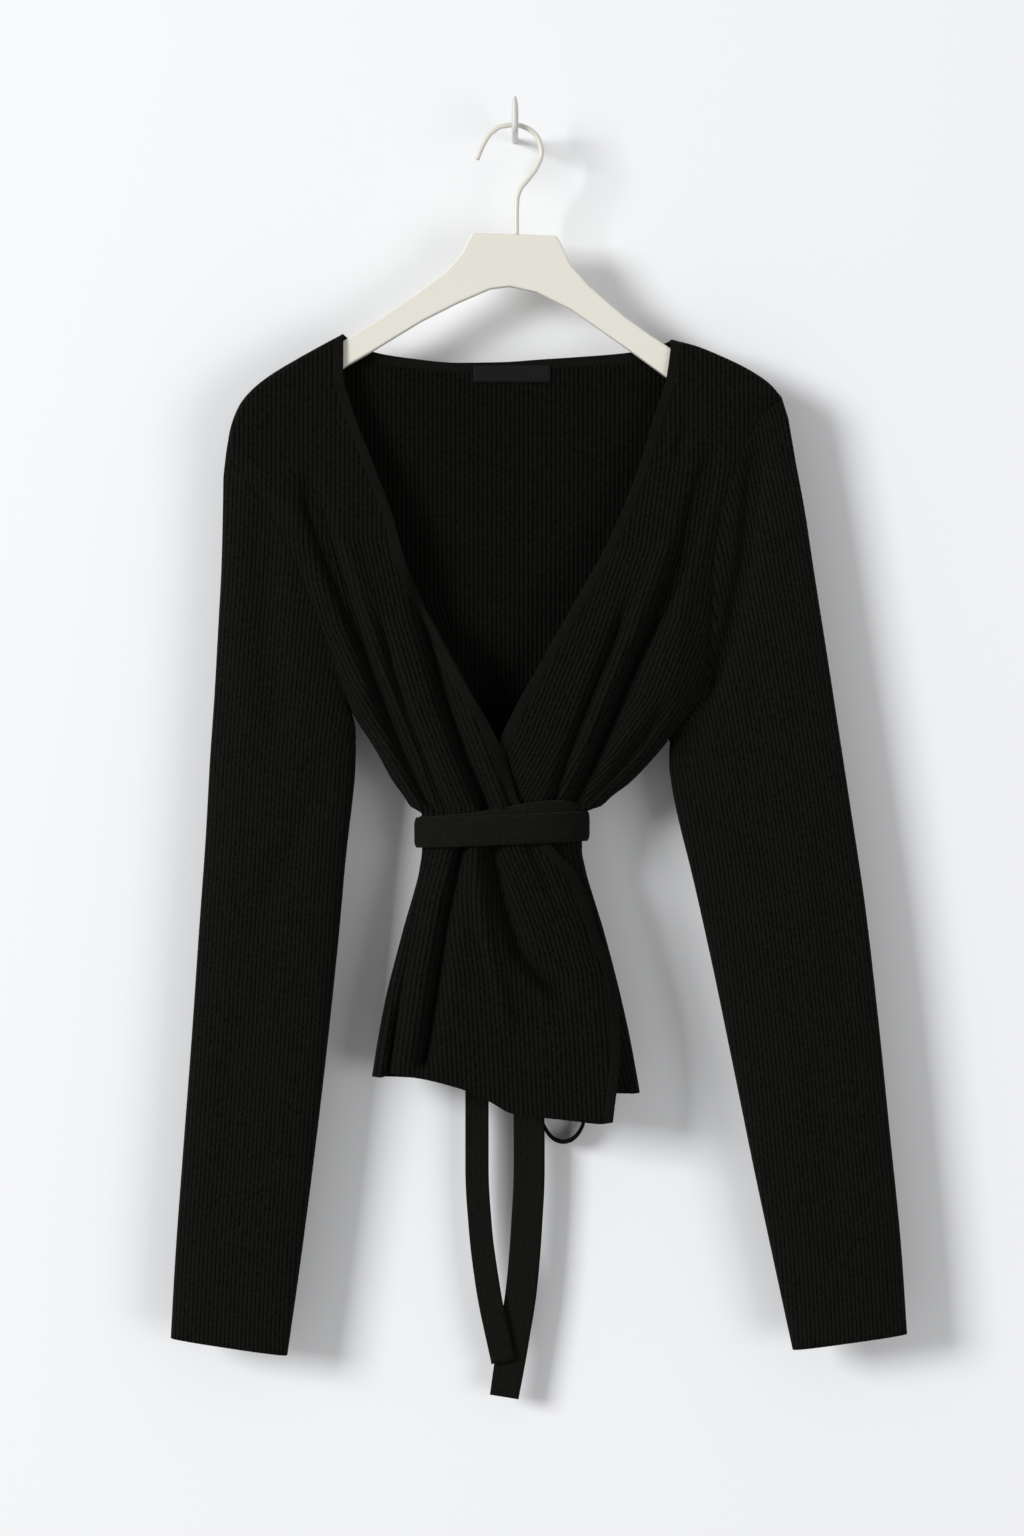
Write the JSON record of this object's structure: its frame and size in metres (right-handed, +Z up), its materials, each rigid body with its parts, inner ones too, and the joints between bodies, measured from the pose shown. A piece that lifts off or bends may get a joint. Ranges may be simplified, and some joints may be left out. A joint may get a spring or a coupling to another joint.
{
  "type": "wrap cardigan on a hanger",
  "caption": "Long-sleeved rib-knit wrap cardigan with a deep V front and a tie belt round the waist, hung on a flat hanger from a wall hook.",
  "frame": {"origin": "centre of the wall hook's shank where it meets the wall", "axes": "+Z up, +Y into the wall, +X to the viewer's right, the wearer's left"},
  "size_m": [0.5148, 0.0709, 0.9131],
  "materials": {
    "front_rib_knit": "matt rib knit",
    "back_rib_knit": "matt rib knit",
    "sleeve_rib_knit": "matt rib knit",
    "fine_knit_band": "matt fine knit",
    "fine_knit_belt": "matt fine knit",
    "woven_label": "soft satin weave",
    "cream_hanger": "satin lacquer",
    "cream_wire": "satin paint",
    "white_hook": "satin paint"
  },
  "bodies": {
    "root": {"front_right": "front_rib_knit", "front_left": "front_rib_knit", "back": "back_rib_knit", "sleeve_right": "sleeve_rib_knit", "sleeve_left": "sleeve_rib_knit", "front_band": "fine_knit_band", "belt_first_turn": "fine_knit_belt", "belt_second_turn": "fine_knit_belt", "belt_knot": "fine_knit_belt", "belt_tail_short": "fine_knit_belt", "belt_tail_long": "fine_knit_belt", "belt_bow_loop": "fine_knit_belt", "neck_label": "woven_label", "hanger": "cream_hanger", "hanger_hook": "cream_wire", "wall_hook": "white_hook"}
  },
  "joints": []
}
